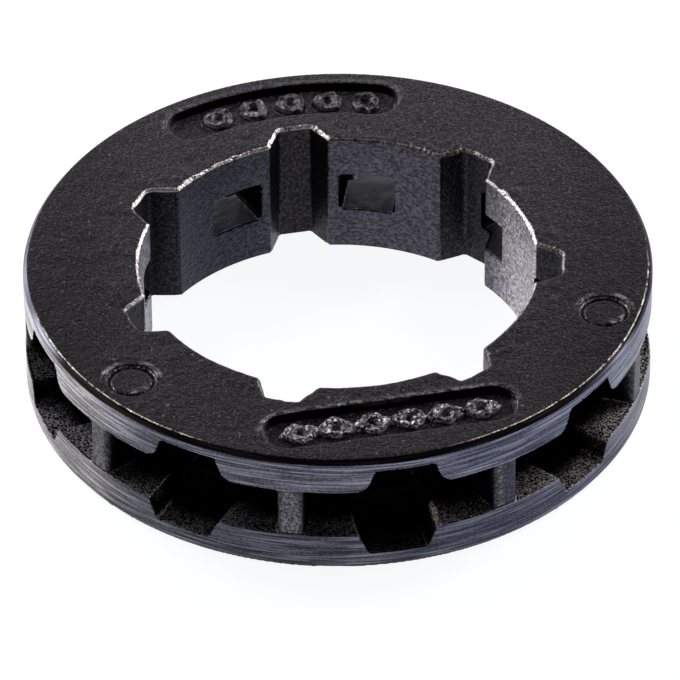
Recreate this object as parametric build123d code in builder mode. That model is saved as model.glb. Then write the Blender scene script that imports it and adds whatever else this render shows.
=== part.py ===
from build123d import *
from math import cos, hypot, radians, sin
import os

# Chainsaw rim sprocket: one steel casting with a splined bore and two flanges
# that are joined by a hub wall and a ring of drive posts. Millimetres, +Z up,
# with the origin on the bore axis at the lower face. A spline groove lies on +X.

# Turned outside
outer_diameter = 30.2
rim_height = 6.6
rim_chamfer_width = 0.32
rim_chamfer_height = 0.20

# Splined bore: flared grooves between the lands that ride on the drum's splines
groove_count = 7
land_diameter = 19.05
groove_depth = 1.195
groove_mouth_width = 2.80
groove_floor_width = 1.58
groove_floor_corner = 0.25
groove_mouth_corner = 0.16
bore_edge_chamfer = 0.14

# Flanges, hub wall and drive posts
pocket_count = 9
pocket_angle = 2.75
flange_thickness = 1.98
hub_wall_thickness = 1.28
post_tip_width = 1.23
post_root_width = 1.95
post_tip_setback = 0.04
post_tip_corner = 0.22
post_root_corner = 0.60

# Channel that each pocket cuts into both flanges, out through their rims
channel_mouth_width = 3.74
channel_floor_width = 2.82
upper_channel_depth = 1.24
lower_channel_depth = 1.06
channel_stagger = 0.16
upper_mouth_corner = 0.78
lower_mouth_corner = 0.45
channel_floor_corner = 0.14
channel_neck_width = 5.26
channel_hub_gap = 0.12

# Window from each pocket through the hub wall into the bore
window_width = 2.82
window_height = 2.20
window_corner = 0.22

# Sunk label panels in the upper face, one along an arc and one straight
panel_depth = 0.40
panel_draft = 12
arc_panel_rim_margin = 1.05
arc_panel_width = 2.30
arc_panel_angle = 104.0
arc_panel_sweep = 41.6
bar_panel_rim_margin = 1.80
bar_panel_width = 2.40
bar_panel_length = 12.10
bar_panel_angle = -76.9

# Round ejector marks in the upper face
ejector_angles = (-16.4, -135.6)
ejector_rim_margin = 0.68
ejector_diameter = 2.25
ejector_depth = 0.12

# Sizes that follow from the ones above
outer_radius = outer_diameter / 2
land_radius = land_diameter / 2
groove_floor_radius = land_radius + groove_depth
hub_wall_radius = groove_floor_radius + hub_wall_thickness
slot_top = rim_height - flange_thickness
slot_height = slot_top - flange_thickness
pocket_pitch = 360 / pocket_count
post_angle = pocket_angle + pocket_pitch / 2
post_tip_radius = outer_radius - post_tip_setback
post_length = post_tip_radius - hub_wall_radius
arc_panel_radius = outer_radius - arc_panel_rim_margin - arc_panel_width / 2
bar_panel_radius = outer_radius - bar_panel_rim_margin - bar_panel_width / 2
ejector_radius = outer_radius - ejector_rim_margin - ejector_diameter / 2

# How far a cut runs on past the surface that it opens through
overrun = 1.0


def polar(radius, angle):
    """Point at a radius and an angle in degrees about the bore axis."""
    return (radius * cos(radians(angle)), radius * sin(radians(angle)))


def at_radius(vertices, radius):
    """The vertices that lie at one distance from the bore axis."""
    tolerance = 0.01
    return vertices.filter_by(lambda vertex: abs(hypot(vertex.X, vertex.Y) - radius) < tolerance)


def inner_corners(vertices, height):
    """The two corners nearest the middle of those at one height of a section."""
    level = vertices.filter_by_position(Axis.Y, height, height)
    return level.sort_by(Axis.X)[1:-1]


def spool_section():
    """Half section of the two flanges, joined well inside the hub wall."""
    core_radius = (land_radius + hub_wall_radius) / 2
    with BuildSketch() as section:
        with BuildLine():
            Polyline(
                (land_radius, 0),
                (outer_radius - rim_chamfer_width, 0),
                (outer_radius, rim_chamfer_height),
                (outer_radius, flange_thickness),
                (core_radius, flange_thickness),
                (core_radius, slot_top),
                (outer_radius, slot_top),
                (outer_radius, rim_height - rim_chamfer_height),
                (outer_radius - rim_chamfer_width, rim_height),
                (land_radius, rim_height),
                close=True,
            )
        make_face()
    return section.sketch


def post_blank():
    """One drive post along +X, thicker at its root, inside the hub wall, than at its tip."""
    with BuildSketch() as blank:
        Polygon(
            (land_radius, -post_root_width / 2),
            (outer_radius, -post_tip_width / 2),
            (outer_radius, post_tip_width / 2),
            (land_radius, post_root_width / 2),
            align=None,
        )
    return blank.sketch


def post_ring_outline():
    """Hub wall and drive posts, as seen along the bore axis."""
    post = post_blank()
    with BuildSketch() as outline:
        with PolarLocations(0, pocket_count, start_angle=post_angle):
            add(post)
        Circle(post_tip_radius, mode=Mode.INTERSECT)
        Circle(hub_wall_radius)
        fillet(at_radius(outline.vertices(), hub_wall_radius), min(post_root_corner, post_length / 2))
        fillet(at_radius(outline.vertices(), post_tip_radius), min(post_tip_corner, post_length / 4))
        Circle(land_radius, mode=Mode.SUBTRACT)
    return outline.sketch


def groove_blank():
    """One spline groove along +X, flared towards the bore."""
    flare = (groove_mouth_width - groove_floor_width) / (groove_floor_radius - land_radius)
    inside_bore = land_radius - overrun
    inner_width = groove_mouth_width + flare * overrun
    with BuildSketch() as blank:
        Polygon(
            (inside_bore, -inner_width / 2),
            (groove_floor_radius, -groove_floor_width / 2),
            (groove_floor_radius, groove_floor_width / 2),
            (inside_bore, inner_width / 2),
            align=None,
        )
    return blank.sketch


def bore_outline():
    """The seven lands and seven grooves of the spline, as seen along the axis."""
    groove = groove_blank()
    with BuildSketch() as outline:
        Circle(land_radius)
        with PolarLocations(0, groove_count):
            add(groove)
        fillet(at_radius(outline.vertices(), land_radius), groove_mouth_corner)
        floor_corners = at_radius(outline.vertices(), hypot(groove_floor_radius, groove_floor_width / 2))
        fillet(floor_corners, groove_floor_corner)
    return outline.sketch


def channel_section():
    """Section of a pocket's channel across its length: a neck between the two
    flanges, with a groove of slanted sides into each of them. The two grooves
    are staggered a little about the middle of the pocket."""
    upper = channel_stagger
    lower = -channel_stagger
    half_neck = channel_neck_width / 2
    half_mouth = channel_mouth_width / 2
    half_floor = channel_floor_width / 2
    upper_floor = slot_top + upper_channel_depth
    lower_floor = flange_thickness - lower_channel_depth
    with BuildSketch() as section:
        Polygon(
            (-half_neck, flange_thickness),
            (lower - half_mouth, flange_thickness),
            (lower - half_floor, lower_floor),
            (lower + half_floor, lower_floor),
            (lower + half_mouth, flange_thickness),
            (half_neck, flange_thickness),
            (half_neck, slot_top),
            (upper + half_mouth, slot_top),
            (upper + half_floor, upper_floor),
            (upper - half_floor, upper_floor),
            (upper - half_mouth, slot_top),
            (-half_neck, slot_top),
            align=None,
        )
        fillet(section.vertices().group_by(Axis.Y)[-1], channel_floor_corner)
        fillet(section.vertices().group_by(Axis.Y)[0], channel_floor_corner)
        fillet(inner_corners(section.vertices(), slot_top), upper_mouth_corner)
        fillet(inner_corners(section.vertices(), flange_thickness), lower_mouth_corner)
    return section.sketch


def arc_panel_outline():
    """Panel outline that follows the rim, with round ends."""
    centre_line = CenterArc(
        (0, 0), arc_panel_radius, arc_panel_angle - arc_panel_sweep / 2, arc_panel_sweep
    )
    with BuildSketch() as outline:
        SlotArc(centre_line, arc_panel_width)
    return outline.sketch


def bar_panel_outline():
    """Straight panel outline with round ends, square to its radius."""
    with BuildSketch() as outline:
        with Locations(polar(bar_panel_radius, bar_panel_angle)):
            SlotOverall(bar_panel_length, bar_panel_width, rotation=bar_panel_angle + 90)
    return outline.sketch


spool = spool_section()
post_ring = post_ring_outline()
bore = bore_outline()
channel = channel_section()
arc_panel = arc_panel_outline()
bar_panel = bar_panel_outline()

with BuildPart() as rim_sprocket:
    # Turned flanges on their common core
    with BuildSketch(Plane.XZ):
        add(spool)
    revolve(axis=Axis.Z)

    # Hub wall and drive posts between the flanges
    with BuildSketch(Plane.XY.offset(flange_thickness)):
        add(post_ring)
    extrude(amount=slot_height)

    # Splined bore, with its edge broken at the upper face
    with BuildSketch():
        add(bore)
    extrude(amount=rim_height, mode=Mode.SUBTRACT)
    bore_edge = rim_sprocket.faces().sort_by(Axis.Z)[-1].inner_wires()[0]
    chamfer(bore_edge.edges(), bore_edge_chamfer)

    # Channels and windows of the pockets
    for pocket in range(pocket_count):
        angle = pocket_angle + pocket_pitch * pocket
        across = Plane.YZ.rotated((0, 0, angle))
        with BuildSketch(across.offset(hub_wall_radius + channel_hub_gap)):
            add(channel)
        extrude(amount=outer_radius + overrun - hub_wall_radius, mode=Mode.SUBTRACT)
        with BuildSketch(across.offset(land_radius - overrun)):
            with Locations((0, rim_height / 2)):
                RectangleRounded(window_width, window_height, window_corner)
        extrude(amount=hub_wall_radius + 2 * overrun - land_radius, mode=Mode.SUBTRACT)

    # Label panels
    with BuildSketch(Plane.XY.offset(rim_height)):
        add(arc_panel)
        add(bar_panel)
    extrude(amount=-panel_depth, taper=panel_draft, mode=Mode.SUBTRACT)

    # Ejector marks
    with BuildSketch(Plane.XY.offset(rim_height)):
        for angle in ejector_angles:
            with Locations(polar(ejector_radius, angle)):
                Circle(ejector_diameter / 2)
    extrude(amount=-ejector_depth, taper=panel_draft, mode=Mode.SUBTRACT)

rim_sprocket.part.label = "rim_sprocket"
os.makedirs("parts", exist_ok=True)
export_step(rim_sprocket.part, "parts/rim_sprocket.step")
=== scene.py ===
"""Looks of the chainsaw rim sprocket: one dark steel casting with a turned rim."""
import math
from types import SimpleNamespace

import bmesh
import bpy
import numpy as np
from mathutils import Matrix, Vector


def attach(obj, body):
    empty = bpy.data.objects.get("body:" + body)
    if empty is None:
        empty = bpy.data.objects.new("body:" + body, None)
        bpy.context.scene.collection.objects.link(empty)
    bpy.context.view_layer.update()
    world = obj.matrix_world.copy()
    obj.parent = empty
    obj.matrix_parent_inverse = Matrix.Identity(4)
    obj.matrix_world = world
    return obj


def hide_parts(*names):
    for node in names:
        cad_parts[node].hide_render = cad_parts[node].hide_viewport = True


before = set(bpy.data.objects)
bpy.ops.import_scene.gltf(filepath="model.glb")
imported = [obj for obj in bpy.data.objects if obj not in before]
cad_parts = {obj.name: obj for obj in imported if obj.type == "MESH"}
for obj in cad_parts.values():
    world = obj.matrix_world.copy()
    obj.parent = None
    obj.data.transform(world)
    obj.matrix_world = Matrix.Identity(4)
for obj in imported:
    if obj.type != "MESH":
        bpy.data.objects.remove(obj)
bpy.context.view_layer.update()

MM = 0.001

# Camera, as fitted to the outlines in the photograph
CAMERA_ELEVATION = 38.9
CAMERA_AZIMUTH = 1.5
CAMERA_ROLL = -0.36
CAMERA_DISTANCE = 362.4 * MM
CAMERA_TARGET = (0.083 * MM, 0.0, 1.63 * MM)
CAMERA_LENS = 396.9

# Sizes of the casting in millimetres, as the solid has them
OUTER_RADIUS = 15.1
LAND_RADIUS = 9.525
HEIGHT = 6.6
GROOVE_COUNT = 7
GROOVE_DEPTH = 1.195
GROOVE_MOUTH = 2.80
GROOVE_FLOOR = 1.58
POCKET_COUNT = 9
POCKET_ANGLE = 2.75
POCKET_PITCH = math.tau / POCKET_COUNT
POST_RADIUS = 15.0
FLANGE = 1.98
SLOT_TOP = 4.62
SOLID_CHAMFER = (0.32, 0.20)
ARC_PANEL = dict(radius=12.9, width=2.30, angle=104.0, sweep=41.6)
BAR_PANEL = dict(radius=12.1, width=2.40, length=12.10, angle=-76.9)
EJECTORS = ((13.295, -16.4), (13.295, -135.6))

# The mesh, in millimetres: its first grid, its size, and how near the true profile it is snapped
VOXEL = 0.085
TRIANGLES = 192000
RIM_SNAP = 0.045
CHAMFER_SNAP = 0.065
BORE_SNAP = 0.06
BORE_SNAP_TOP = 6.36

# The turned rim, and the steeper chamfer of the photograph with the zone that it pulls along
RIM_RADIUS = OUTER_RADIUS - 0.008
CHAMFER_WIDTH = 0.19
CHAMFER_HEIGHT = 0.28
CHAMFER_PULL_RADIUS = 14.45
CHAMFER_PULL_DEPTH = 0.6

# Unevenness of the casting: height, size of the lumps and seed; more of it on the bore's upper edge
SWELLS = ((0.012, 1.3, 11), (0.012, 0.55, 12), (0.011, 0.27, 13))
BORE_EDGE_SWELL = 1.3

# Relief of the upper face, which starts this much below the solid's, and the heights it reaches down to
TOP_DROP = 0.05
TOP_LIMIT = HEIGHT - 0.004
TOP_BAND = 6.3
PANEL_FLOOR_BAND = 6.0
RELIEF_BAND = 5.9
MARK_HEIGHT = 0.33
STUDS = dict(count=5, pitch=1.86, shift=0.50, radius=0.76)
LOZENGES = dict(count=6, pitch=1.74, size=0.72)
PANEL_LIP_HEIGHT = 0.046
RING_RADIUS = 1.05
RING_DEPTH = 0.30
RING_LIP_HEIGHT = 0.060
RING_LIP_RADIUS = 1.32
EJECTOR_ZONE = (1.55, 1.75)
PANEL_MARGIN = 0.55
FINE_RIM_RADIUS = 14.72

# Zones of the masks in millimetres: a mask rises between the first two values, falls between the next two
LAND_END = (9.58, 9.68)
GROOVE_END = (10.86, 10.96)
GROOVE_HEIGHTS = (0.0, 0.04, 6.36, 6.42)
BORE_EDGE_HEIGHT = (6.37, 6.43)
BORE_EDGE_END = (10.9, 11.0)
UPPER_HEIGHT = (6.0, 6.1)
LIP_ZONE_HEIGHT = (6.40, 6.46)
WALL_RADIUS = (11.0, 11.1)
MARK_ZONE_RADIUS = (10.95, 11.1)
MARK_ZONE_HEIGHTS = (6.22, 6.32, 6.50, 6.53)
RIM_LINE_RADIUS = (14.83, 14.86)
RIM_LINE_HEIGHT = (6.49, 6.52)
POCKET_RADII = (10.85, 11.05, 14.92, 15.05)
POCKET_HEIGHTS = (0.2, 0.3, 5.9, 6.0)
WINDOW_RADII = (9.60, 9.68, 12.0, 12.2)
WINDOW_HEIGHTS = (2.10, 2.16, 4.44, 4.50)
WINDOW_HALF_WIDTH = (1.42, 1.46)
SHELF_RADIUS = (13.0, 14.4)
SHELF_HEIGHTS = (0.6, 2.0, 2.1, 2.3)
BED_RADIUS = (13.2, 14.6)
BED_HEIGHTS = (0.7, 0.85, 1.1, 1.5)
POST_ZONE_RADIUS = (14.4, 14.9)
POST_ZONE_HEIGHTS = (2.0, 2.1, 4.5, 4.6)
POST_TIP_RADIUS = (14.96, 15.02)
POST_ROUNDING = (0.22, 0.60)
CHAMFER_OUTER_RADIUS = (14.98, 15.02)

# Noises: features to the metre
COARSE_GRAIN = 2600
FINE_GRAIN = 7500
SPECK_GRAIN = 4100
PIT_GRAIN = 6200
GRIT_GRAIN = 10500
MOTTLE_GRAIN = 9000
STREAKS = 7500
SCRATCHES = 11500
BANDS = 1500

# Heights of the bumps
CAST_BUMP = 0.11 * MM
TURNED_BUMP = 0.025 * MM

# Colours of the metal, from the dark of its grain to the light
# Painted light and shade: the upper face's front copy is darker, its back copy lighter
FACE_FRONT_SHADED = ((0.013, 0.010, 0.013), (0.064, 0.053, 0.066))
FACE_BACK_LIT = ((0.026, 0.022, 0.027), (0.100, 0.087, 0.104))
# Painted shade and reflection: the lands' back-left copy is darker, the right and left copies pale
LAND_BACK = ((0.032, 0.031, 0.040), (0.100, 0.094, 0.120))
LAND_BACK_LEFT_SHADE = ((0.010, 0.011, 0.017), (0.031, 0.032, 0.050))
LAND_RIGHT_REFLECTION = ((0.15, 0.142, 0.16), (0.76, 0.72, 0.78))
LAND_LEFT_REFLECTION = ((0.080, 0.085, 0.110), (0.400, 0.420, 0.500))
GROOVE = ((0.011, 0.010, 0.013), (0.046, 0.043, 0.053))
POST = ((0.038, 0.036, 0.042), (0.190, 0.182, 0.208))
POST_TURNED = ((0.024, 0.025, 0.042), (0.062, 0.066, 0.104))
# The turned band: its left and right-end copies are painted light
TURNED_MIDDLE = ((0.046, 0.046, 0.064), (0.160, 0.160, 0.210))
TURNED_BLUE = ((0.042, 0.046, 0.072), (0.144, 0.154, 0.230))
TURNED_LEFT_HIGHLIGHT = ((0.120, 0.115, 0.124), (0.450, 0.430, 0.450))
TURNED_RIGHT_LIT = ((0.044, 0.046, 0.064), (0.165, 0.172, 0.220))
# The chamfers: the left and right copies are painted highlights
CHAMFER_FRONT = ((0.008, 0.007, 0.007), (0.026, 0.022, 0.021))
CHAMFER_LEFT_HIGHLIGHT = ((0.160, 0.165, 0.200), (0.400, 0.410, 0.480))
CHAMFER_RIGHT_HIGHLIGHT = ((0.040, 0.042, 0.060), (0.130, 0.135, 0.180))

# Single colours: painted shade in the pockets, on walls and in ring grooves, painted light on window sills,
# painted highlights on lips and marks, grit with painted light, and bare metal where it is worn, which on
# edges and at the left also carries painted highlights
FACE_WALL_SHADE = (0.016, 0.014, 0.016)
PANEL_WALL_SHADE = (0.003, 0.002, 0.003)
RING_SHADE = (0.003, 0.003, 0.003)
POCKET_SHADE = (0.002, 0.002, 0.002)
WINDOW_WALL_SHADE = (0.004, 0.004, 0.005)
WINDOW_SILL_LIGHT = (0.150, 0.150, 0.168)
SPECK = (0.150, 0.140, 0.150)
MARK = (0.150, 0.135, 0.150)
MARK_HIGHLIGHT = (0.46, 0.43, 0.46)
LIP = (0.20, 0.185, 0.20)
LIT_GRIT_LEFT = (0.54, 0.51, 0.54)
LIT_GRIT_RIGHT = (0.72, 0.65, 0.66)
BORE_EDGE = (0.60, 0.55, 0.53)
RIM_LINE = (0.66, 0.59, 0.50)
TURNED_EDGE = (0.30, 0.29, 0.33)
TURNED_WORN = (0.30, 0.30, 0.36)
TURNED_WORN_LEFT_HIGHLIGHT = (0.72, 0.70, 0.74)

# Reflection at a grazing angle, as a share of full: the pockets, darkened as painted shade, have little
CAST_SHEEN = 1.0
POCKET_SHEEN = 0.2
CHAMFER_SHEEN = (0.50, 0.49, 0.50, 1)

# Lamps: name, azimuth, elevation, distance, width, height and power
LAMPS = (
    ("left_lamp", 142, 47, 1.0, 0.2, 0.2, 1.8),
    ("right_lamp", 40, 50, 1.0, 0.2, 0.2, 1.8),
    ("left_box", 142, 20, 0.9, 0.8, 0.55, 6.0),
    ("right_box", 38, 20, 0.9, 0.8, 0.55, 5.2),
)


def polar(radius, angle):
    """Point at a radius and an angle in degrees about the bore axis."""
    return np.array([radius * math.cos(math.radians(angle)), radius * math.sin(math.radians(angle))])


def ramp(value, low, high):
    """Smooth step from 0 at low to 1 at high."""
    t = np.clip((value - low) / (high - low), 0, 1)
    return t * t * (3 - 2 * t)


def ridge(value, centre, width):
    """Bell of height 1 round a centre."""
    return np.exp(-(((value - centre) / width) ** 2))


def grain(points, size, seed):
    """Smooth random field from -1 to 1, with lumps of one size."""
    table = np.random.default_rng(seed).uniform(-1, 1, (64, 64, 64))
    cell = points / size
    low = np.floor(cell).astype(int)
    part = cell - low
    part = part * part * (3 - 2 * part)
    total = np.zeros(len(points))
    for corner in range(8):
        step = np.array([corner & 1, (corner >> 1) & 1, (corner >> 2) & 1])
        weight = np.prod(np.where(step, part, 1 - part), axis=1)
        i, j, k = ((low + step) & 63).T
        total += weight * table[i, j, k]
    return total


def flat_grain(x, y, size, seed):
    """The same field over the upper face, equal at every height."""
    return grain(np.stack([x, y, x * 0], 1), size, seed)


def slot_distance(x, y, half_length, half_width):
    """Distance from a straight slot's edge, less than 0 inside it."""
    over = np.maximum(np.abs(x) - (half_length - half_width), 0)
    return np.hypot(over, y) - half_width


def arc_panel_place(x, y):
    """Coordinates along and across the curved panel."""
    angle = np.degrees(np.arctan2(y, x)) - ARC_PANEL["angle"]
    radius = np.hypot(x, y)
    return -np.radians(angle) * ARC_PANEL["radius"], radius - ARC_PANEL["radius"]


def bar_panel_place(x, y):
    """Coordinates along and across the straight panel."""
    centre = polar(BAR_PANEL["radius"], BAR_PANEL["angle"])
    turn = math.radians(BAR_PANEL["angle"] + 90)
    dx, dy = x - centre[0], y - centre[1]
    return dx * math.cos(turn) + dy * math.sin(turn), -dx * math.sin(turn) + dy * math.cos(turn)


def arc_panel_distance(x, y):
    """Distance from the curved panel's edge, less than 0 inside it."""
    along, across = arc_panel_place(x, y)
    half_run = math.radians(ARC_PANEL["sweep"] / 2) * ARC_PANEL["radius"]
    return slot_distance(along, across, half_run + ARC_PANEL["width"] / 2, ARC_PANEL["width"] / 2)


def bar_panel_distance(x, y):
    """Distance from the straight panel's edge, less than 0 inside it."""
    along, across = bar_panel_place(x, y)
    return slot_distance(along, across, BAR_PANEL["length"] / 2, BAR_PANEL["width"] / 2)


def stud(edge, away):
    """Height of a raised shape with a dimple, from its edge distance and its middle."""
    return (1 - ramp(edge, -0.10, 0.05)) * (1 - 0.85 * (1 - ramp(away, 0.12, 0.34)))


def panel_marks(x, y):
    """Height of the plain raised shapes on the panels' floors, from 0 to 1."""
    rough = 0.085 * flat_grain(x, y, 0.40, 21)
    along, across = arc_panel_place(x, y)
    marks = np.zeros(len(x))
    for number in range(STUDS["count"]):
        run = along - (number - (STUDS["count"] - 1) / 2) * STUDS["pitch"] - STUDS["shift"]
        away = np.hypot(run, across)
        marks = np.maximum(marks, stud(away - STUDS["radius"] + rough, away))
    along, across = bar_panel_place(x, y)
    for number in range(LOZENGES["count"]):
        run = np.abs(along - (number - (LOZENGES["count"] - 1) / 2) * LOZENGES["pitch"])
        rounded, pointed = np.hypot(run * 0.62, across), run * 0.86 + np.abs(across)
        lozenge = rounded * 0.5 + pointed * 0.45 - LOZENGES["size"]
        marks = np.maximum(marks, stud(lozenge + rough, np.hypot(run, across)))
    return marks


def ejector_place(x, y, mark):
    """Distance and direction from the middle of one round mark."""
    centre = polar(*mark)
    return np.hypot(x - centre[0], y - centre[1]), np.arctan2(y - centre[1], x - centre[0])


def detail_zone(x, y):
    """True where the upper face carries relief that needs a finer mesh."""
    zone = (arc_panel_distance(x, y) < PANEL_MARGIN) | (bar_panel_distance(x, y) < PANEL_MARGIN)
    for mark in EJECTORS:
        zone |= ejector_place(x, y, mark)[0] < EJECTOR_ZONE[1]
    return zone | (np.hypot(x, y) > FINE_RIM_RADIUS)


def ejector_form(distance, direction):
    """Height of a round mark: a flat disc in a narrow ring groove, with a broken lip outside."""
    back = np.sin(direction)
    side = np.abs(np.cos(direction))
    form = -RING_DEPTH * (0.70 + 0.30 * back) * ridge(distance, RING_RADIUS, 0.080 + 0.020 * back)
    lip = RING_LIP_HEIGHT * ridge(distance, RING_LIP_RADIUS, 0.10)
    form += lip * ramp(back, -0.3, 0.5) * ramp(side, 0.15, 0.6)
    form += 0.035 * ridge(distance, 0.80, 0.16) * ramp(-back + 0.9 * np.cos(direction), 0.6, 1.3)
    form += -0.02 * (1 - ramp(distance, 0.9, 1.1))
    return form


def upper_relief(x, y, z):
    """New heights of the upper face's points: lips, marks and round ejector marks."""
    top = HEIGHT - TOP_DROP
    level = z - TOP_DROP * ramp(z, PANEL_FLOOR_BAND, HEIGHT)

    # Lips that stand up round the panels, most on the far side
    for distance, place in ((arc_panel_distance, arc_panel_place), (bar_panel_distance, bar_panel_place)):
        edge = distance(x, y)
        far = ramp(place(x, y)[1], -0.6, 0.9)
        rough = 0.75 + 0.5 * flat_grain(x, y, 0.22, 7)
        level += PANEL_LIP_HEIGHT * ridge(edge, 0.20, 0.15) * far * rough * (z > TOP_BAND)

    # Plain shapes on the panels' floors
    marks = panel_marks(x, y)
    panels = np.minimum(arc_panel_distance(x, y), bar_panel_distance(x, y))
    inside = (panels < -0.1) & (z > PANEL_FLOOR_BAND)
    wear = 0.80 + 0.30 * flat_grain(x, y, 0.26, 5)
    level += np.where(inside, MARK_HEIGHT * wear * marks, 0)

    # Round marks, which keep no grain of the casting
    for mark in EJECTORS:
        distance, direction = ejector_place(x, y, mark)
        blend = 1 - ramp(distance, *EJECTOR_ZONE)
        near_top = (z > TOP_BAND) & (distance < EJECTOR_ZONE[1])
        level_there = level * (1 - blend) + (top + ejector_form(distance, direction)) * blend
        level = np.where(near_top, level_there, level)
    return np.minimum(level, TOP_LIMIT)


def evaluated(piece):
    """A mesh of its own with the object's modifiers applied."""
    graph = bpy.context.evaluated_depsgraph_get()
    return bpy.data.meshes.new_from_object(piece.evaluated_get(graph), depsgraph=graph)


def remeshed(source):
    """The solid's mesh in millimetres, welded and rebuilt with small round edges."""
    mesh = source.data.copy()
    grid = bmesh.new()
    grid.from_mesh(mesh)
    bmesh.ops.scale(grid, vec=(1 / MM,) * 3, verts=grid.verts)
    bmesh.ops.remove_doubles(grid, verts=grid.verts, dist=1e-4)
    grid.to_mesh(mesh)
    grid.free()
    piece = bpy.data.objects.new("remesh", mesh)
    bpy.context.scene.collection.objects.link(piece)
    modifier = piece.modifiers.new("skin", "REMESH")
    modifier.mode = "VOXEL"
    modifier.voxel_size = VOXEL
    result = evaluated(piece)
    bpy.data.objects.remove(piece)
    return result


def refine(mesh):
    """Splits the faces that carry the upper face's fine relief."""
    grid = bmesh.new()
    grid.from_mesh(mesh)
    centres = np.array([face.calc_center_median() for face in grid.faces])
    zone = detail_zone(centres[:, 0], centres[:, 1]) & (centres[:, 2] > RELIEF_BAND)
    grid.faces.ensure_lookup_table()
    edges = {edge for index in np.flatnonzero(zone) for edge in grid.faces[index].edges}
    bmesh.ops.subdivide_edges(grid, edges=list(edges), cuts=1, use_grid_fill=True)
    grid.to_mesh(mesh)
    grid.free()


def values(items, name, width, kind=np.float32):
    """One property of all points, faces or corners as an array."""
    found = np.empty(len(items) * width, dtype=kind)
    items.foreach_get(name, found)
    return found.reshape(-1, width) if width > 1 else found


def move_points(mesh, points):
    """Puts the mesh's points where the array says."""
    mesh.vertices.foreach_set("co", points.astype(np.float32).ravel())
    mesh.update()


def steeper_chamfer(points):
    """Moves the solid's two rim chamfers to the steeper ones of the photograph."""
    x, y, z = points.T
    radius = np.hypot(x, y)
    upper = z > HEIGHT / 2
    depth = np.where(upper, HEIGHT - z, z)
    width, height = SOLID_CHAMFER
    out = np.clip((radius - OUTER_RADIUS) / width + 1, 0, 1)
    near = 1 - np.clip((depth - height) / (CHAMFER_PULL_DEPTH - height), 0, 1)
    pull_width = OUTER_RADIUS - width - CHAMFER_PULL_RADIUS
    pull = np.clip((radius - CHAMFER_PULL_RADIUS) / pull_width, 0, 1)
    outward = (width - CHAMFER_WIDTH) * pull * (1 - out) * near
    down = (CHAMFER_HEIGHT - height) * out * near
    scale = 1 + outward / radius
    return np.stack([x * scale, y * scale, np.where(upper, z - down, z + down)], 1)


def true_rim(points):
    """Puts the turned rim's points back on its profile and tells which they are."""
    x, y, z = points.T
    radius = np.hypot(x, y)
    upper = z > HEIGHT / 2
    top = HEIGHT - TOP_DROP
    depth = np.where(upper, top - z, z)
    flange = np.where(upper, z > SLOT_TOP - 0.04, z < FLANGE + 0.04)
    slope = math.hypot(CHAMFER_WIDTH, CHAMFER_HEIGHT)
    out, down = CHAMFER_HEIGHT / slope, CHAMFER_WIDTH / slope
    past = depth * down - (radius - RIM_RADIUS + CHAMFER_WIDTH) * out

    side = flange & (RIM_RADIUS - radius < RIM_SNAP) & (depth > CHAMFER_HEIGHT)
    slant = (np.abs(past) < CHAMFER_SNAP) & (depth <= CHAMFER_HEIGHT)
    slant &= radius > RIM_RADIUS - CHAMFER_WIDTH
    new_radius = np.where(side, RIM_RADIUS, np.where(slant, radius + past * out, radius))
    new_depth = np.where(slant, depth - past * down, depth)
    new_z = np.where(slant, np.where(upper, top - new_depth, new_depth), z)
    scale = np.minimum(new_radius, RIM_RADIUS) / radius
    return np.stack([x * scale, y * scale, new_z], 1), side | slant


def true_bore(points):
    """Puts points of the bore's lands, groove sides and groove floors back on its profile."""
    x, y, z = points.T
    radius = np.hypot(x, y)
    pitch = 2 * math.pi / GROOVE_COUNT
    middle = np.round(np.arctan2(y, x) / pitch) * pitch
    out, across = x * np.cos(middle) + y * np.sin(middle), y * np.cos(middle) - x * np.sin(middle)
    side, aside = np.sign(across), np.abs(across)
    slope = (GROOVE_MOUTH - GROOVE_FLOOR) / 2 / GROOVE_DEPTH
    lean = math.hypot(1, slope)
    past = (aside - GROOVE_MOUTH / 2 + (out - LAND_RADIUS) * slope) / lean
    floor = LAND_RADIUS + GROOVE_DEPTH
    below = z < BORE_SNAP_TOP

    on_land = (np.abs(radius - LAND_RADIUS) < BORE_SNAP) & (aside > GROOVE_MOUTH / 2 + 0.1) & below
    on_floor = (np.abs(out - floor) < BORE_SNAP) & (aside < GROOVE_FLOOR / 2 - 0.15) & below
    on_side = (np.abs(past) < BORE_SNAP) & (out > LAND_RADIUS + 0.1) & (out < floor - 0.2) & below
    scale = np.where(on_land, LAND_RADIUS / radius, 1)
    new_out = np.where(on_floor, floor, np.where(on_side, out - past * slope / lean, out)) * scale
    new_across = np.where(on_side, side * (aside - past / lean), across) * scale
    new_x = new_out * np.cos(middle) - new_across * np.sin(middle)
    new_y = new_out * np.sin(middle) + new_across * np.cos(middle)
    return np.stack([new_x, new_y, np.where(z < 0.05, 0, z)], 1)


def shape_casting(mesh):
    """Moves the mesh's points: cast unevenness, relief, and a true turned rim."""
    points = steeper_chamfer(values(mesh.vertices, "co", 3).astype(float))
    normals = values(mesh.vertex_normals, "vector", 3).astype(float)
    rim = true_rim(points)[1]
    radius = np.hypot(*points[:, :2].T)
    cast = ~(rim | (points[:, 2] < 0.02)) * (1 - 0.8 * ramp(radius, 14.6, 14.85))
    cast *= 0.3 + 0.7 * ramp(radius, 9.55, 9.75)
    cast *= 1 + BORE_EDGE_SWELL * ((points[:, 2] > 6.34) & (radius < 10.9))

    swell = sum(height * grain(points, size, seed) for height, size, seed in SWELLS)
    points = points + normals * (cast * swell)[:, None]

    x, y, z = points.T
    z = np.where(z > RELIEF_BAND, upper_relief(x, y, z), z)
    z = np.clip(z, 0, TOP_LIMIT)
    move_points(mesh, true_bore(true_rim(np.stack([x, y, z], 1))[0]))


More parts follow.
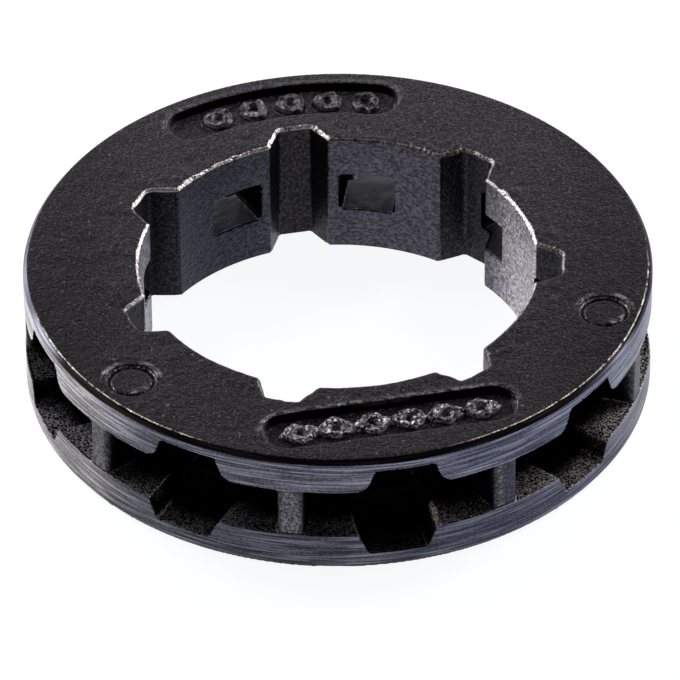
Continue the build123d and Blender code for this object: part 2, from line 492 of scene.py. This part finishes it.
def face_groups(mesh):
    """True for the faces of the turned side, of its two chamfers, of the lower face and of the pockets."""
    x, y, z = values(mesh.polygons, "center", 3).T
    facing = values(mesh.polygons, "normal", 3)
    radius = np.hypot(x, y)
    outward = (facing[:, 0] * x + facing[:, 1] * y) / radius
    depth = np.minimum(z, HEIGHT - TOP_DROP - z)
    turned = (radius > RIM_RADIUS - 0.04) & (outward > 0.92)
    turned &= (z > SLOT_TOP - 0.02) | (z < FLANGE + 0.02)
    slant = (radius > RIM_RADIUS - CHAMFER_WIDTH) & (depth < CHAMFER_HEIGHT + 0.01)
    slant &= (outward > 0.3) & ~turned
    base = (z < 0.01) & (facing[:, 2] < -0.9)

    # Pockets between the flanges, and the windows from them into the bore
    turn = (np.arctan2(y, x) - math.radians(POCKET_ANGLE)) / POCKET_PITCH
    aside = np.abs(turn - np.round(turn)) * POCKET_PITCH * radius
    pocket = (radius > 10.9) & (radius < 14.9) & (z > 0.5) & (z < 6.0)
    pocket |= (radius > 9.62) & (radius < 12.0) & (z > 2.1) & (z < 4.5) & (aside < 1.45)
    return turned, slant, base, pocket


def finish_faces(mesh):
    """Snaps the rim and bore once more, and sets each face's normals and material."""
    points = true_bore(true_rim(values(mesh.vertices, "co", 3).astype(float))[0])
    move_points(mesh, points)
    corners = values(mesh.loops, "vertex_index", 1, np.int32)
    sides = values(mesh.polygons, "loop_total", 1, np.int32)
    areas = values(mesh.polygons, "area", 1)
    facing = values(mesh.polygons, "normal", 3)
    height = values(mesh.polygons, "center", 3)[:, 2]
    turned, slant, base, pocket = face_groups(mesh)
    free = ~(turned | slant | base)

    # Larger faces weigh more, and the turned faces don't pull on their neighbours
    owner = np.repeat(np.arange(len(sides)), sides)
    pull = facing * (areas * free)[:, None]
    smooth = np.zeros_like(points)
    np.add.at(smooth, corners, pull[owner])
    normals = smooth[corners]

    # The turned side, its chamfers and the lower face have exact normals
    radial = points[corners] * [1, 1, 0]
    radial /= np.linalg.norm(radial, axis=1)[:, None]
    normals = np.where(turned[owner, None], radial, normals)
    rise = CHAMFER_WIDTH / CHAMFER_HEIGHT
    tilt = radial + np.where(height > HEIGHT / 2, rise, -rise)[owner, None] * [0, 0, 1]
    normals = np.where(slant[owner, None], tilt, normals)
    normals = np.where(base[owner, None], [0, 0, -1], normals)
    normals /= np.maximum(np.linalg.norm(normals, axis=1), 1e-12)[:, None]

    mesh.shade_smooth()
    material = turned + 2 * slant + 3 * pocket * free
    mesh.polygons.foreach_set("material_index", material.astype(np.int32))
    mesh.normals_split_custom_set(normals.tolist())


def make_casting():
    """The whole sprocket as one dense mesh that stands for its solid."""
    mesh = remeshed(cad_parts["rim_sprocket"])
    refine(mesh)
    shape_casting(mesh)
    piece = bpy.data.objects.new("rim_casting", mesh)
    bpy.context.scene.collection.objects.link(piece)
    triangles = sum(len(polygon.vertices) - 2 for polygon in mesh.polygons)
    modifier = piece.modifiers.new("thin", "DECIMATE")
    modifier.ratio = TRIANGLES / triangles
    fine = evaluated(piece)
    piece.modifiers.clear()
    piece.data = fine
    fine.materials.clear()
    finish_faces(fine)
    fine.transform(Matrix.Scale(MM, 4))
    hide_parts("rim_sprocket")
    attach(piece, "root")
    return piece


class Nodes:
    """Short ways to write shader nodes; masks run from 0 to 1."""

    def __init__(self, tree):
        self.tree = tree

    def add(self, kind, **settings):
        """A new node with some of its properties set."""
        node = self.tree.nodes.new(kind)
        for name, value in settings.items():
            setattr(node, name, value)
        return node

    def put(self, socket, value):
        """Links a socket into an input, or sets the input to a value; a colour may leave out its alpha."""
        if isinstance(value, bpy.types.NodeSocket):
            self.tree.links.new(value, socket)
        elif socket.type == "RGBA" and len(value) == 3:
            socket.default_value = (*value, 1)
        else:
            socket.default_value = value

    def math(self, operation, *values):
        """One step of arithmetic."""
        node = self.add("ShaderNodeMath", operation=operation)
        for socket, value in zip(node.inputs, values):
            self.put(socket, value)
        return node.outputs[0]

    def most(self, *masks):
        """The largest of two or more masks."""
        total = masks[0]
        for mask in masks[1:]:
            total = self.math("MAXIMUM", total, mask)
        return total

    def both(self, *masks):
        """Where all of the masks meet, which is their product; a number makes them weaker."""
        total = masks[0]
        for mask in masks[1:]:
            total = self.math("MULTIPLY", total, mask)
        return total

    def less(self, value):
        """One minus a mask."""
        return self.math("SUBTRACT", 1.0, value)

    def step(self, value, low, high):
        """Mask that rises smoothly from low to high."""
        node = self.add("ShaderNodeMapRange", interpolation_type="SMOOTHSTEP")
        self.put(node.inputs["Value"], value)
        node.inputs["From Min"].default_value = low
        node.inputs["From Max"].default_value = high
        return node.outputs[0]

    def span(self, value, low, low_end, high_start, high):
        """Mask of a range with soft ends."""
        return self.both(self.step(value, low, low_end), self.less(self.step(value, high_start, high)))

    def mix(self, factor, first, second):
        """Blend of two colours."""
        node = self.add("ShaderNodeMix", data_type="RGBA")
        self.put(node.inputs[0], factor)
        self.put(node.inputs[6], first)
        self.put(node.inputs[7], second)
        return node.outputs[2]

    def blend(self, factor, first, second):
        """Blend of two numbers."""
        node = self.add("ShaderNodeMix", data_type="FLOAT")
        self.put(node.inputs[0], factor)
        self.put(node.inputs[2], first)
        self.put(node.inputs[3], second)
        return node.outputs[0]

    def scale(self, color, factor):
        """A colour times a number."""
        node = self.add("ShaderNodeVectorMath", operation="SCALE")
        self.put(node.inputs[0], color)
        self.put(node.inputs[3], factor)
        return node.outputs[0]

    def stretch(self, vector, scale):
        """Coordinates scaled on each axis."""
        node = self.add("ShaderNodeMapping")
        self.put(node.inputs["Vector"], vector)
        node.inputs["Scale"].default_value = scale
        return node.outputs[0]

    def noise(self, vector, scale, detail=2.0, roughness=0.5):
        """Smooth noise."""
        node = self.add("ShaderNodeTexNoise")
        self.put(node.inputs["Vector"], vector)
        node.inputs["Scale"].default_value = scale
        node.inputs["Detail"].default_value = detail
        node.inputs["Roughness"].default_value = roughness
        return node.outputs[0]

    def length(self, x, y):
        """Distance of a point in the plane from its origin."""
        return self.math("SQRT", self.math("ADD", self.both(x, x), self.both(y, y)))

    def turned(self, x, y, along_x, along_y):
        """Coordinate along one direction in the plane."""
        return self.math("ADD", self.both(x, along_x), self.both(y, along_y))

    def bump(self, shader, height, distance):
        """Gives the shader a bump of a height in metres."""
        node = self.add("ShaderNodeBump")
        node.inputs["Strength"].default_value = 1.0
        node.inputs["Distance"].default_value = distance
        self.put(node.inputs["Height"], height)
        self.put(shader.inputs["Normal"], node.outputs[0])


def new_steel(name):
    """A metal with its node helper, its shader and its coordinates in millimetres about the bore axis."""
    material = bpy.data.materials.new(name)
    material.use_nodes = True
    nodes = Nodes(material.node_tree)
    shader = material.node_tree.nodes["Principled BSDF"]
    shader.inputs["Metallic"].default_value = 1.0
    place = nodes.add("ShaderNodeTexCoord").outputs["Object"]
    split = nodes.add("ShaderNodeSeparateXYZ")
    nodes.put(split.inputs[0], nodes.stretch(place, (1 / MM,) * 3))
    x, y, z = split.outputs
    return material, nodes, shader, SimpleNamespace(place=place, x=x, y=y, z=z, radius=nodes.length(x, y))


def slot_edge(nodes, along, across, half_run, half_width):
    """Masks of the lip outside a slot's far edge and ends, and of the wall just inside it."""
    over = nodes.most(nodes.math("SUBTRACT", nodes.math("ABSOLUTE", along), half_run), 0.0)
    edge = nodes.math("SUBTRACT", nodes.length(over, across), half_width)
    lip = nodes.both(nodes.span(edge, 0.07, 0.12, 0.22, 0.36), nodes.step(across, -0.3, 0.8))
    wall = nodes.both(nodes.span(edge, -0.16, -0.12, 0.04, 0.07), nodes.step(across, 0.1, 0.6))
    return lip, wall


def panel_masks(nodes, at):
    """Masks of the rough lips outside the far edges of both panels, and of the walls below those edges."""
    angle = nodes.math("ARCTAN2", at.y, at.x)
    turn = nodes.math("SUBTRACT", angle, math.radians(ARC_PANEL["angle"]))
    along = nodes.both(turn, ARC_PANEL["radius"])
    across = nodes.math("SUBTRACT", at.radius, ARC_PANEL["radius"])
    half_run = math.radians(ARC_PANEL["sweep"] / 2) * ARC_PANEL["radius"]
    arc_lip, arc_wall = slot_edge(nodes, along, across, half_run, ARC_PANEL["width"] / 2)

    centre = polar(BAR_PANEL["radius"], BAR_PANEL["angle"])
    turn = math.radians(BAR_PANEL["angle"] + 90)
    dx, dy = nodes.math("SUBTRACT", at.x, centre[0]), nodes.math("SUBTRACT", at.y, centre[1])
    along = nodes.turned(dx, dy, math.cos(turn), math.sin(turn))
    across = nodes.turned(dx, dy, -math.sin(turn), math.cos(turn))
    half_run = (BAR_PANEL["length"] - BAR_PANEL["width"]) / 2
    bar_lip, bar_wall = slot_edge(nodes, along, across, half_run, BAR_PANEL["width"] / 2)
    return nodes.most(nodes.both(arc_lip, 0.4), bar_lip), nodes.most(arc_wall, bar_wall)


def ejector_masks(nodes, at):
    """Masks of the lips outside both round marks with the crescent inside, and of their ring grooves."""
    lips = rings = 0.0
    for mark in EJECTORS:
        centre = polar(*mark)
        dx, dy = nodes.math("SUBTRACT", at.x, centre[0]), nodes.math("SUBTRACT", at.y, centre[1])
        distance = nodes.length(dx, dy)
        # The lip on the far side only and the crescent towards the lower right get a painted highlight
        lip = nodes.both(nodes.span(distance, 1.20, 1.26, 1.46, 1.62), nodes.step(dy, 0.1, 0.6))
        lip = nodes.both(lip, nodes.step(nodes.math("ABSOLUTE", dx), 0.3, 0.7))
        crescent = nodes.step(nodes.turned(dx, dy, 0.6, -0.8), 0.62, 0.80)
        crescent = nodes.both(nodes.span(distance, 0.62, 0.74, 0.92, 0.98), crescent)
        lips = nodes.most(lips, nodes.most(lip, crescent))
        rings = nodes.most(rings, nodes.span(distance, 0.95, 1.00, 1.10, 1.16))
    return lips, rings


def cast_noises(nodes, at):
    """Adds the noises of the cast skin, and which way each face looks."""
    normal = nodes.add("ShaderNodeSeparateXYZ")
    nodes.put(normal.inputs[0], nodes.add("ShaderNodeTexCoord").outputs["Normal"])
    at.facing_back, at.facing_up = normal.outputs[1], normal.outputs[2]
    at.aside_x = nodes.math("ABSOLUTE", at.x)
    at.coarse = nodes.noise(at.place, COARSE_GRAIN, 3.0, 0.6)
    at.fine = nodes.noise(at.place, FINE_GRAIN, 2.0, 0.6)
    at.worn = nodes.noise(at.place, COARSE_GRAIN, 2.0, 0.6)
    at.spots = nodes.step(at.fine, 0.36, 0.74)


def face_masks(nodes, at):
    """Adds the masks of the upper face's walls, lips, marks and rings."""
    at.upper = nodes.step(at.z, *UPPER_HEIGHT)
    steep = nodes.both(at.upper, nodes.less(nodes.step(at.facing_up, 0.70, 0.90)))
    at.wall = nodes.both(steep, nodes.step(at.radius, *WALL_RADIUS))
    panel_lip, panel_wall = panel_masks(nodes, at)
    at.panel_wall = nodes.both(panel_wall, at.upper)
    ejector_lip, ring = ejector_masks(nodes, at)
    at.ring = nodes.both(ring, at.upper, 0.8)
    at.lips = nodes.both(nodes.most(panel_lip, ejector_lip), nodes.step(at.z, *LIP_ZONE_HEIGHT))
    outside = nodes.both(nodes.step(at.radius, *MARK_ZONE_RADIUS), nodes.less(at.panel_wall))
    at.marks = nodes.both(nodes.span(at.z, *MARK_ZONE_HEIGHTS), outside)


def pocket_masks(nodes, at):
    """Adds the masks of the bore's lands and grooves, of the pockets, and of the posts between them."""
    at.land = nodes.less(nodes.step(at.radius, *LAND_END))
    groove = nodes.both(nodes.less(at.land), nodes.less(nodes.step(at.radius, *GROOVE_END)))
    at.groove = nodes.both(groove, nodes.span(at.z, *GROOVE_HEIGHTS))

    # Distance from the middle of the nearest pocket along its circle
    angle = nodes.math("SUBTRACT", nodes.math("ARCTAN2", at.y, at.x), math.radians(POCKET_ANGLE))
    turn = nodes.both(angle, 1 / POCKET_PITCH)
    off_middle = nodes.math("ABSOLUTE", nodes.math("SUBTRACT", turn, nodes.math("ROUND", turn)))
    aside = nodes.both(off_middle, nodes.both(at.radius, POCKET_PITCH))

    hollow = nodes.both(nodes.span(at.radius, *POCKET_RADII), nodes.span(at.z, *POCKET_HEIGHTS))
    window = nodes.both(nodes.span(at.z, *WINDOW_HEIGHTS), nodes.span(at.radius, *WINDOW_RADII))
    window = nodes.both(window, nodes.less(nodes.step(aside, *WINDOW_HALF_WIDTH)))
    at.inside = nodes.most(hollow, window)

    # Grit on the lower shelves near the rim, stronger to the left, and on the channels' floors at both ends
    # of the picture: a rough cast grit whose bright colour, and where it shows, is painted light
    flat = nodes.step(at.facing_up, 0.3, 0.7)
    shelf = nodes.both(nodes.step(at.radius, *SHELF_RADIUS), nodes.span(at.z, *SHELF_HEIGHTS), flat)
    shelf = nodes.both(shelf, nodes.blend(nodes.step(at.x, -14.0, -10.5), 0.30, 1.0))
    bed = nodes.both(nodes.step(at.radius, *BED_RADIUS), nodes.span(at.z, *BED_HEIGHTS), flat)
    ends = nodes.most(nodes.step(at.x, -3.0, -5.5), nodes.step(at.x, 6.0, 9.0))
    shelf = nodes.most(shelf, nodes.both(bed, ends, 0.75))
    at.grit = nodes.both(shelf, nodes.step(nodes.noise(at.place, GRIT_GRAIN, 2.0, 0.6), 0.42, 0.64))

    at.post = nodes.both(nodes.step(at.radius, *POST_ZONE_RADIUS), nodes.span(at.z, *POST_ZONE_HEIGHTS))
    half_pitch = POCKET_PITCH * POST_RADIUS / 2
    at.post_middle = nodes.step(nodes.math("SUBTRACT", half_pitch, aside), *POST_ROUNDING)
    at.post_tip = nodes.both(nodes.step(at.radius, *POST_TIP_RADIUS), nodes.step(at.x, 7.8, 8.2))


def face_color(nodes, at):
    """Colour of the upper face and of everything cast: painted light makes it lighter towards the back,
    painted shade darker at both sides and black on its walls.
    """
    # Painted light: lighter towards the back
    level = nodes.step(at.y, -9.0, 15.0)
    color = nodes.mix(level, nodes.mix(at.spots, *FACE_FRONT_SHADED), nodes.mix(at.spots, *FACE_BACK_LIT))
    specks = nodes.step(nodes.noise(at.place, SPECK_GRAIN, 1.0, 0.5), 0.70, 0.76)
    color = nodes.mix(specks, color, SPECK)
    # Painted shade: darker towards both sides of the picture
    side_shade = nodes.blend(nodes.step(at.y, -6.0, 3.0), 0.62, 0.69)
    color = nodes.scale(color, nodes.blend(nodes.step(at.aside_x, 9.0, 13.0), 1.0, side_shade))
    # Painted shade: the face's steep walls and the panels' far walls go black
    color = nodes.mix(at.wall, color, FACE_WALL_SHADE)
    return nodes.mix(at.panel_wall, color, PANEL_WALL_SHADE)


def bore_color(nodes, at, color):
    """Blue-grey lands, darker at the back left as painted shade and pale at both ends of the picture as
    painted reflection, and dark grooves.
    """
    pits = nodes.noise(nodes.stretch(at.place, (0.8, 0.8, 1.1)), PIT_GRAIN, 2.0, 0.6)
    pits = nodes.step(pits, 0.34, 0.68)
    back_left, back = nodes.mix(pits, *LAND_BACK_LEFT_SHADE), nodes.mix(pits, *LAND_BACK)
    left, right = nodes.mix(pits, *LAND_LEFT_REFLECTION), nodes.mix(pits, *LAND_RIGHT_REFLECTION)
    # Painted shade at the back left, painted reflection pale at both ends
    blue = nodes.mix(nodes.step(at.x, -7.5, 1.0), back_left, back)
    pale = nodes.mix(nodes.step(at.x, 1.0, -1.0), right, left)
    ends = nodes.most(nodes.step(at.x, 6.8, 9.0), nodes.step(at.x, -8.9, -9.4))
    color = nodes.mix(at.land, color, nodes.mix(ends, blue, pale))
    groove_level = nodes.blend(nodes.step(at.x, -9.2, -7.8), 0.40, 1.0)
    return nodes.mix(at.groove, color, nodes.scale(nodes.mix(at.spots, *GROOVE), groove_level))


def pocket_color(nodes, at, color):
    """Painted shade inside the pockets with painted light on the rear sills, grit with painted light near
    the rim, and posts with painted shade on their flanks, which on the right are turned with the rim.
    """
    # Painted shade: pockets and windows go black; at the back, painted light on the up-facing sills
    sill = nodes.mix(nodes.step(at.facing_up, 0.90, 0.97), WINDOW_WALL_SHADE, WINDOW_SILL_LIGHT)
    pocket_shade_and_sill = nodes.mix(nodes.step(at.y, 2.0, 6.0), POCKET_SHADE, sill)
    color = nodes.mix(nodes.both(at.inside, 0.96), color, pocket_shade_and_sill)
    # Painted light: bright grit where the shelves catch light
    color = nodes.mix(at.grit, color, nodes.mix(nodes.step(at.x, -4.0, 8.0), LIT_GRIT_LEFT, LIT_GRIT_RIGHT))
    # Painted shade: the posts darken away from their middles, for a rounded look
    post = nodes.scale(nodes.mix(at.spots, *POST), nodes.blend(at.post_middle, 1.05, 0.42))
    color = nodes.mix(at.post, color, post)
    return nodes.mix(nodes.both(at.post, at.post_tip), color, nodes.mix(at.spots, *POST_TURNED))


def bore_edge_wear_and_highlight(nodes, at):
    """Worn metal on the bore's upper edge, partly a painted highlight: dimmer to the right and towards the
    viewer, and only where the edge faces the viewer.
    """
    rounded = nodes.less(nodes.step(at.facing_up, 0.93, 0.98))
    near_bore = nodes.less(nodes.step(at.radius, *BORE_EDGE_END))
    edge = nodes.both(nodes.step(at.z, *BORE_EDGE_HEIGHT), near_bore, rounded)
    right_land = nodes.both(nodes.step(at.x, 6.0, 7.0), nodes.less(nodes.step(at.radius, 9.70, 9.85)), 0.55)
    dim = nodes.most(nodes.blend(nodes.step(at.x, -1.5, 0.5), 1.0, 0.36), right_land)
    dim = nodes.both(dim, nodes.blend(nodes.step(at.y, -8.0, 3.0), 0.15, 1.0))
    edge = nodes.both(edge, dim, nodes.less(nodes.step(at.facing_back, 0.0, 0.3)))
    return nodes.both(edge, nodes.step(nodes.blend(0.4, at.worn, at.fine), 0.34, 0.54))


def rim_line_wear_and_highlight(nodes, at):
    """The broken bare line where the upper face meets the rim's chamfer, worn metal and a painted
    highlight, kept to both sides of the picture.
    """
    line = nodes.both(nodes.step(at.radius, *RIM_LINE_RADIUS), nodes.step(at.z, *RIM_LINE_HEIGHT))
    below = nodes.math("SUBTRACT", at.y, nodes.blend(nodes.step(at.x, -1.0, 1.0), -4.6, 0.5))
    reach = nodes.both(nodes.step(at.aside_x, 5.0, 7.5), nodes.less(nodes.step(below, -1.2, 1.2)))
    return nodes.both(line, reach, nodes.step(at.worn, 0.34, 0.54))


def bare_color(nodes, at, color):
    """Bare metal with painted highlights on the bore's upper edge and along the rim, bare metal and painted
    highlights on marks, painted highlights on lips, and painted shade in the ring grooves.
    """
    # Worn metal with a painted highlight on the bore's upper edge
    color = nodes.mix(bore_edge_wear_and_highlight(nodes, at), color, BORE_EDGE)
    color = nodes.mix(nodes.both(at.marks, nodes.step(at.coarse, 0.40, 0.62)), color, MARK)
    # Painted highlight: bright glints on the marks towards the viewer
    front = nodes.less(nodes.step(at.y, -5.0, 0.0))
    color = nodes.mix(nodes.both(at.marks, front, nodes.step(at.fine, 0.50, 0.66)), color, MARK_HIGHLIGHT)
    # Painted shade: the round marks' ring grooves go black
    color = nodes.mix(at.ring, color, RING_SHADE)
    # Painted highlight: the lips outside the far edges and the crescent inside the round marks
    color = nodes.mix(nodes.both(at.lips, nodes.step(at.coarse, 0.42, 0.60)), color, LIP)
    return nodes.mix(rim_line_wear_and_highlight(nodes, at), color, RIM_LINE)


def make_cast_steel(name, sheen):
    """Black oxide on a cast grain, finer in the bore, bare on worn edges, with painted light, shade and
    highlights in its colour.
    """
    material, nodes, shader, at = new_steel(name)
    cast_noises(nodes, at)
    face_masks(nodes, at)
    pocket_masks(nodes, at)
    color = face_color(nodes, at)
    color = bore_color(nodes, at, color)
    color = pocket_color(nodes, at, color)
    nodes.put(shader.inputs["Base Color"], bare_color(nodes, at, color))
    shader.inputs["Specular Tint"].default_value = (sheen, sheen, sheen, 1)

    rough = nodes.blend(at.land, nodes.blend(at.spots, 0.44, 0.34), 0.30)
    nodes.put(shader.inputs["Roughness"], nodes.blend(at.grit, rough, 0.75))

    calm = nodes.most(nodes.both(at.land, 0.05), nodes.both(at.groove, 0.45), nodes.both(at.inside, 0.85))
    walls = nodes.both(nodes.most(at.wall, at.panel_wall), 0.7)
    calm = nodes.most(calm, nodes.both(at.post, 0.6), walls)
    height = nodes.math("ADD", nodes.both(at.fine, 0.45), nodes.both(at.coarse, 0.55))
    nodes.bump(shader, nodes.both(height, nodes.less(calm)), CAST_BUMP)
    return material


def turning(nodes, place):
    """Noises that run round the rim: streaks and fine scratches."""
    streak = nodes.noise(nodes.stretch(place, (0.040, 0.040, 1.0)), STREAKS, 2.0, 0.6)
    scratch = nodes.noise(nodes.stretch(place, (0.030, 0.030, 1.0)), SCRATCHES, 1.0, 0.5)
    return streak, scratch


def make_turned_steel():
    """The rim's turned band: blue-black with streaks that spread light up and down."""
    material, nodes, shader, at = new_steel("turned_steel")
    streak, scratch = turning(nodes, at.place)
    band = nodes.noise(nodes.stretch(at.place, (0.03, 0.03, 1.0)), BANDS, 2.0, 0.5)
    grooves = nodes.math("ADD", nodes.both(streak, 0.3), nodes.both(scratch, 0.7))
    mottle = nodes.noise(at.place, MOTTLE_GRAIN, 2.0, 0.6)
    lines = nodes.math("ADD", nodes.both(grooves, 0.72), nodes.both(mottle, 0.28))
    lines = nodes.step(lines, 0.40, 0.61)

    # Streaks of a dark and a light colour, each bluer at the right; paler at the left end as a painted
    # highlight and lit at the right end as painted light
    left = nodes.step(at.x, -8.0, -12.5)
    blue = nodes.step(at.x, 1.0, 8.0)
    right = nodes.step(at.x, 12.0, 14.8)
    tones = []
    for middle, bluer, at_left, at_right in zip(TURNED_MIDDLE, TURNED_BLUE, TURNED_LEFT_HIGHLIGHT, TURNED_RIGHT_LIT):
        tone = nodes.mix(left, nodes.mix(blue, middle, bluer), at_left)
        tones.append(nodes.mix(right, tone, at_right))
    color = nodes.mix(lines, *tones)
    # Bright scratches, much brighter at the left as a painted highlight
    bright = nodes.both(nodes.step(scratch, 0.58, 0.70), 0.6)
    color = nodes.mix(bright, color, nodes.mix(left, TURNED_WORN, TURNED_WORN_LEFT_HIGHLIGHT))

    # Worn edges of the two bands, and the upper band lighter and the lower darker, as painted light and
    # shade
    edge = nodes.most(nodes.less(nodes.step(at.z, 4.64, 4.72)), nodes.span(at.z, 1.86, 1.92, 2.1, 2.2))
    lower_band = nodes.span(at.z, 0.0, 0.1, 1.80, 1.90)
    edge = nodes.both(edge, nodes.less(lower_band), nodes.step(band, 0.40, 0.62))
    color = nodes.mix(nodes.both(edge, 0.55), color, TURNED_EDGE)
    # Painted shade on the lower band, painted light on the upper
    color = nodes.scale(color, nodes.blend(nodes.step(at.z, 2.2, 4.4), 0.84, 1.18))
    nodes.put(shader.inputs["Base Color"], color)
    nodes.put(shader.inputs["Roughness"], nodes.blend(lines, 0.46, 0.38))
    shader.inputs["Anisotropic"].default_value = 0.85
    shader.inputs["Anisotropic Rotation"].default_value = 0.25
    tangent = nodes.add("ShaderNodeTangent", direction_type="RADIAL", axis="Z")
    nodes.put(shader.inputs["Tangent"], tangent.outputs[0])

    height = nodes.math("ADD", nodes.both(grooves, 0.6), nodes.both(band, 0.4))
    nodes.bump(shader, height, TURNED_BUMP)
    return material


def make_chamfer_steel():
    """The rim's chamfers: smooth, unworn black oxide, with painted highlights at the left and right ends.
    """
    material, nodes, shader, at = new_steel("chamfer_steel")
    streak, scratch = turning(nodes, at.place)
    lines = nodes.step(scratch, 0.4, 0.7)
    color = nodes.mix(lines, *CHAMFER_FRONT)
    # Painted highlight at the left end
    color = nodes.mix(nodes.step(at.x, -12.6, -14.0), color, nodes.mix(lines, *CHAMFER_LEFT_HIGHLIGHT))
    # Painted highlight at the right end, on the outer edge
    right = nodes.both(nodes.step(at.x, 11.0, 13.5), nodes.step(at.radius, *CHAMFER_OUTER_RADIUS))
    color = nodes.mix(right, color, nodes.mix(lines, *CHAMFER_RIGHT_HIGHLIGHT))
    nodes.put(shader.inputs["Base Color"], color)
    nodes.put(shader.inputs["Roughness"], nodes.blend(streak, 0.34, 0.22))
    shader.inputs["Specular Tint"].default_value = CHAMFER_SHEEN
    return material


def make_camera():
    """The photograph's camera, turned about the bore axis with the part."""
    elevation = math.radians(CAMERA_ELEVATION)
    turn = Matrix.Rotation(math.radians(CAMERA_AZIMUTH), 3, "Z")
    back = Vector((0, -math.cos(elevation), math.sin(elevation)))
    data = bpy.data.cameras.new("camera")
    data.lens = CAMERA_LENS
    data.sensor_width = 36
    data.clip_start = 0.01
    data.clip_end = 10
    camera = bpy.data.objects.new("camera", data)
    bpy.context.scene.collection.objects.link(camera)
    camera.location = turn @ (Vector(CAMERA_TARGET) + CAMERA_DISTANCE * back)
    look = (turn @ -back).to_track_quat("-Z", "Y")
    roll = Matrix.Rotation(math.radians(CAMERA_ROLL), 4, "Z")
    camera.rotation_euler = (look.to_matrix().to_4x4() @ roll).to_euler()
    bpy.context.scene.camera = camera


def make_softbox(name, azimuth, elevation, distance, width, height, power):
    """A large soft lamp that faces the object."""
    data = bpy.data.lights.new(name, "AREA")
    data.shape = "RECTANGLE"
    data.size = width
    data.size_y = height
    data.energy = power
    lamp = bpy.data.objects.new(name, data)
    bpy.context.scene.collection.objects.link(lamp)
    a, e = math.radians(azimuth), math.radians(elevation)
    place = Vector((math.cos(a) * math.cos(e), math.sin(a) * math.cos(e), math.sin(e))) * distance
    lamp.location = place
    lamp.rotation_euler = (-place).to_track_quat("-Z", "Y").to_euler()


def make_floor():
    """White table top that shows a faint shadow and lights the object as plain paper."""
    mesh = bpy.data.meshes.new("floor")
    mesh.from_pydata([(-1, -1, 0), (1, -1, 0), (1, 1, 0), (-1, 1, 0)], [], [(0, 1, 2, 3)])
    floor = bpy.data.objects.new("floor", mesh)
    bpy.context.scene.collection.objects.link(floor)
    paper = bpy.data.materials.new("paper")
    paper.use_nodes = True
    nodes = Nodes(paper.node_tree)
    shader = paper.node_tree.nodes["Principled BSDF"]
    path = nodes.add("ShaderNodeLightPath")
    seen = nodes.most(path.outputs["Is Camera Ray"], path.outputs["Is Glossy Ray"])
    nodes.put(shader.inputs["Base Color"], nodes.mix(seen, (0.90, 0.90, 0.91), (0.20, 0.20, 0.20)))
    shader.inputs["Roughness"].default_value = 1.0
    shader.inputs["Specular IOR Level"].default_value = 0.0
    shader.inputs["Emission Color"].default_value = (0.98, 0.985, 1.0, 1)
    nodes.put(shader.inputs["Emission Strength"], nodes.both(seen, 0.93))
    mesh.materials.append(paper)


def make_world():
    """White near the horizon behind the object, darker in front and overhead; plain white to the camera."""
    world = bpy.data.worlds.new("world")
    bpy.context.scene.world = world
    world.use_nodes = True
    nodes = Nodes(world.node_tree)
    background = world.node_tree.nodes["Background"]
    split = nodes.add("ShaderNodeSeparateXYZ")
    nodes.put(split.inputs[0], nodes.add("ShaderNodeTexCoord").outputs["Generated"])
    ahead, up = split.outputs[1], split.outputs[2]
    low = nodes.less(nodes.step(up, 0.30, 0.66))
    rear = nodes.step(ahead, -0.7, 0.4)
    level = nodes.math("ADD", nodes.both(low, nodes.blend(rear, 0.35, 1.0)), 0.012)
    seen = nodes.add("ShaderNodeLightPath").outputs["Is Camera Ray"]
    nodes.put(background.inputs["Strength"], nodes.blend(seen, level, 1.0))
    nodes.put(background.inputs["Color"], nodes.mix(seen, (0.96, 0.97, 1.0), (1, 1, 1)))


make_camera()
bpy.context.scene.view_settings.view_transform = "Standard"
make_world()
make_floor()
for lamp in LAMPS:
    make_softbox(*lamp)

casting = make_casting()
casting.data.materials.append(make_cast_steel("cast_steel", CAST_SHEEN))
casting.data.materials.append(make_turned_steel())
casting.data.materials.append(make_chamfer_steel())
casting.data.materials.append(make_cast_steel("pocket_steel", POCKET_SHEEN))
